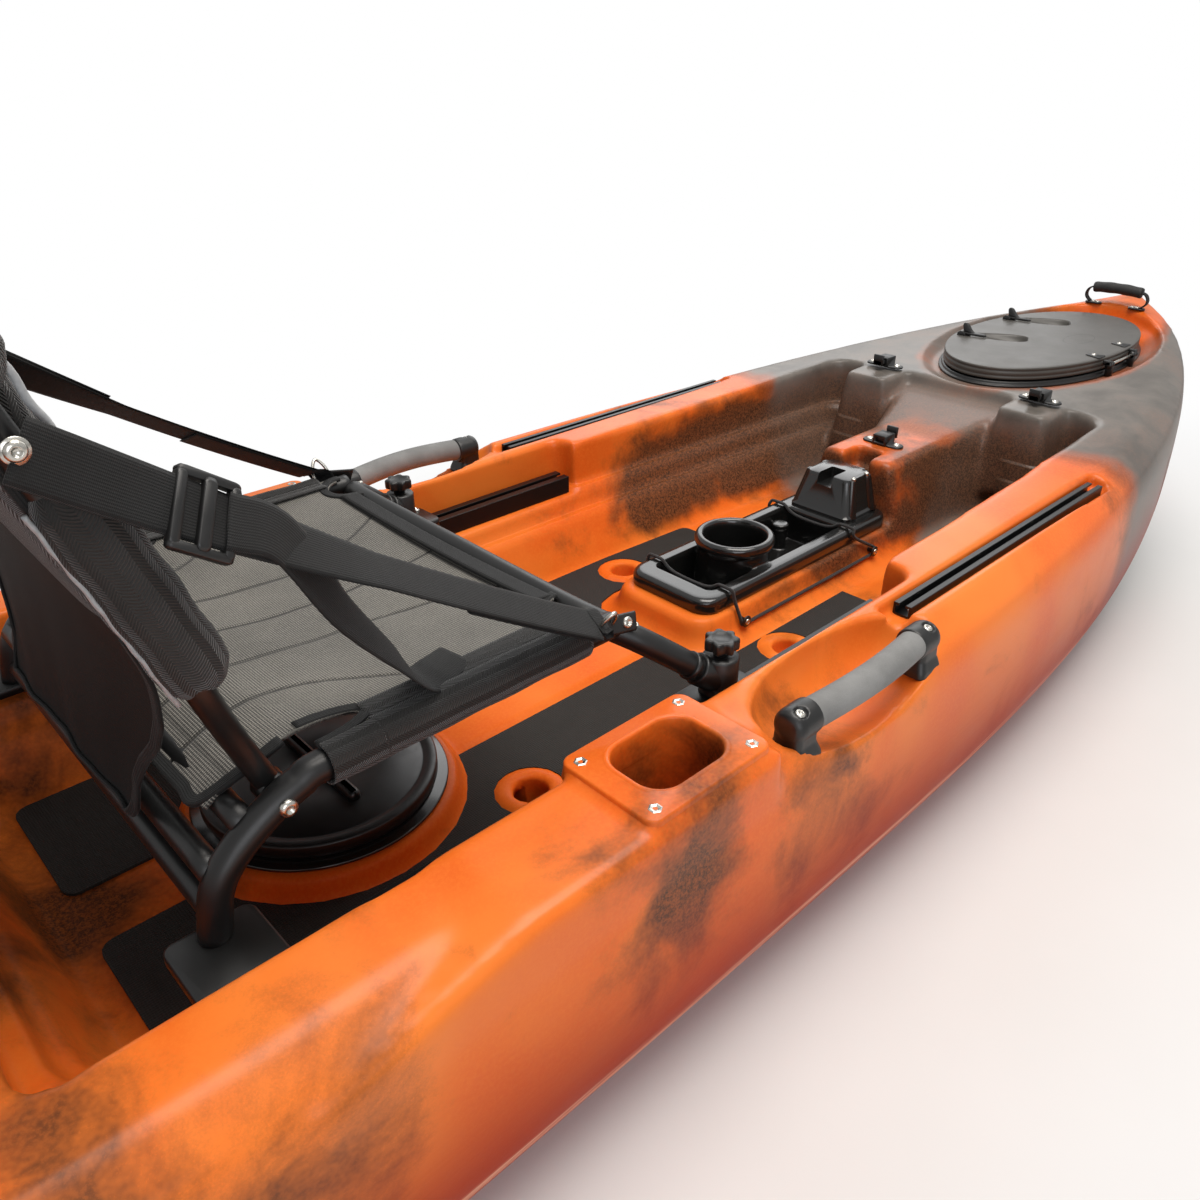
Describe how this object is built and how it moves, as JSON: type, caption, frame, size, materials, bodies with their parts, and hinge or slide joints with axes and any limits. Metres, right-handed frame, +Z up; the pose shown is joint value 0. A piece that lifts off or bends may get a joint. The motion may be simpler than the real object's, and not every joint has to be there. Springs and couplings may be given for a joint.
{
  "type": "fishing kayak",
  "caption": "Sit-on-top fishing kayak with a framed mesh seat that slides on tracks, hinged bow hatch, under-seat hatch, console tray, gear tracks and carry handles.",
  "frame": {"origin": "middle of the keel: centre of the hull in plan, at the lowest face of the keel", "axes": "+X to the bow, +Y to port, +Z up"},
  "size_m": [3.66, 0.864, 0.8978],
  "materials": {
    "orange_polyethylene": "rotomoulded, fine texture, orange with grey and dark mottling",
    "black_plastic": "moulded, satin",
    "gloss_black_plastic": "vacuum formed, high gloss",
    "grey_hatch_plastic": "fine grain",
    "black_aluminium": "black anodised",
    "rail_aluminium": "black anodised, extruded",
    "stainless_steel": "brushed",
    "grey_grip_rubber": "matt, soft",
    "dark_rubber": "matt",
    "deck_foam": "closed-cell foam with a fine raised pattern",
    "mesh_fabric": "coated mesh with stitched chevrons",
    "dark_fabric": "woven cover with padding",
    "webbing": "woven polypropylene webbing",
    "cord_sheath": "braided sheath over elastic"
  },
  "bodies": {
    "hull": {"hull_shell": "orange_polyethylene", "bow_hatch_rim": "black_plastic", "bow_hatch_hinge_pin": "stainless_steel", "bow_hatch_seal": "dark_rubber", "seat_hatch_rim": "black_plastic", "console_tray": "gloss_black_plastic", "drive_well_cover": "gloss_black_plastic", "tray_bungee": "cord_sheath", "bungee_clip_aft_port": "black_plastic", "bungee_clip_fore_port": "black_plastic", "bungee_clip_aft_starboard": "black_plastic", "bungee_clip_fore_starboard": "black_plastic", "latch_base_ridge": "black_plastic", "latch_base_port": "black_plastic", "latch_base_starboard": "black_plastic", "gear_track_port": "rail_aluminium", "seat_track_port": "rail_aluminium", "gear_track_starboard": "rail_aluminium", "seat_track_starboard": "rail_aluminium", "side_handle_cap_aft_port": "black_plastic", "side_handle_cap_fore_port": "black_plastic", "side_handle_grip_port": "grey_grip_rubber", "side_handle_cap_aft_starboard": "black_plastic", "side_handle_cap_fore_starboard": "black_plastic", "side_handle_grip_starboard": "grey_grip_rubber", "bow_handle_strap": "webbing", "bow_handle_grip": "dark_rubber", "stern_handle_strap": "webbing", "stern_handle_grip": "dark_rubber", "deck_mat_port": "deck_foam", "deck_mat_starboard": "deck_foam", "tankwell_bungee": "cord_sheath", "cargo_hook_1_port": "black_plastic", "cargo_hook_2_port": "black_plastic", "cargo_hook_3_port": "black_plastic", "cargo_hook_1_starboard": "black_plastic", "cargo_hook_2_starboard": "black_plastic", "cargo_hook_3_starboard": "black_plastic"},
    "bow_lid": {"bow_hatch_lid": "grey_hatch_plastic"},
    "lid_lever_aft": {"bow_hatch_lever_aft": "black_plastic"},
    "lid_lever_fore": {"bow_hatch_lever_fore": "black_plastic"},
    "seat_hatch_lid": {"seat_hatch_lid": "black_plastic"},
    "seat": {"seat_base_frame": "black_aluminium", "seat_foot_port": "black_plastic", "seat_foot_starboard": "black_plastic", "seat_sling": "mesh_fabric", "back_strap_port": "webbing", "back_strap_starboard": "webbing", "strap_buckle_port": "black_plastic", "strap_buckle_starboard": "black_plastic", "strap_plate_port": "black_plastic", "strap_plate_starboard": "black_plastic"},
    "knob_port": {"seat_knob_port": "black_plastic"},
    "knob_starboard": {"seat_knob_starboard": "black_plastic"},
    "seat_back": {"back_frame": "black_aluminium", "back_cushion": "dark_fabric", "back_skirt": "dark_fabric"},
    "latch_ridge": {"latch_bolt_ridge": "black_plastic"},
    "latch_port": {"latch_bolt_port": "black_plastic"},
    "latch_starboard": {"latch_bolt_starboard": "black_plastic"}
  },
  "joints": [
    {"name": "bow_lid_hinge", "type": "hinge", "parent": "hull", "child": "bow_lid", "pos_m": [1.37, -0.1565, 0.369], "axis": [1, 0, 0], "range_deg": [0, 110]},
    {"name": "lid_lever_aft_hinge", "type": "hinge", "parent": "bow_lid", "child": "lid_lever_aft", "pos_m": [1.29, 0.122, 0.3843], "axis": [-1, 0, 0], "range_deg": [0, 70]},
    {"name": "lid_lever_fore_hinge", "type": "hinge", "parent": "bow_lid", "child": "lid_lever_fore", "pos_m": [1.48, 0.122, 0.3843], "axis": [-1, 0, 0], "range_deg": [0, 70]},
    {"name": "seat_hatch_twist", "type": "hinge", "parent": "hull", "child": "seat_hatch_lid", "pos_m": [-0.245, 0, 0.2013], "axis": [0, 0, 1], "range_deg": [0, 60]},
    {"name": "seat_slide", "type": "slide", "parent": "hull", "child": "seat", "axis": [1, 0, 0], "range_m": [-0.02, 0.2]},
    {"name": "knob_port_turn", "type": "hinge", "parent": "seat", "child": "knob_port", "pos_m": [0.062, 0.288, 0.345], "axis": [0, 0, 1], "range_deg": [0, 360]},
    {"name": "knob_starboard_turn", "type": "hinge", "parent": "seat", "child": "knob_starboard", "pos_m": [0.062, -0.288, 0.345], "axis": [0, 0, 1], "range_deg": [0, 360]},
    {"name": "back_fold", "type": "hinge", "parent": "seat", "child": "seat_back", "pos_m": [-0.38, 0, 0.386], "axis": [0, 1, 0], "range_deg": [0, 75], "deforming": ["back_strap_port", "back_strap_starboard"]},
    {"name": "latch_ridge_slide", "type": "slide", "parent": "hull", "child": "latch_ridge", "axis": [1, 0, 0], "range_m": [0, 0.011]},
    {"name": "latch_port_slide", "type": "slide", "parent": "hull", "child": "latch_port", "axis": [-1, 0, 0], "range_m": [0, 0.011]},
    {"name": "latch_starboard_slide", "type": "slide", "parent": "hull", "child": "latch_starboard", "axis": [-1, 0, 0], "range_m": [0, 0.011]}
  ]
}
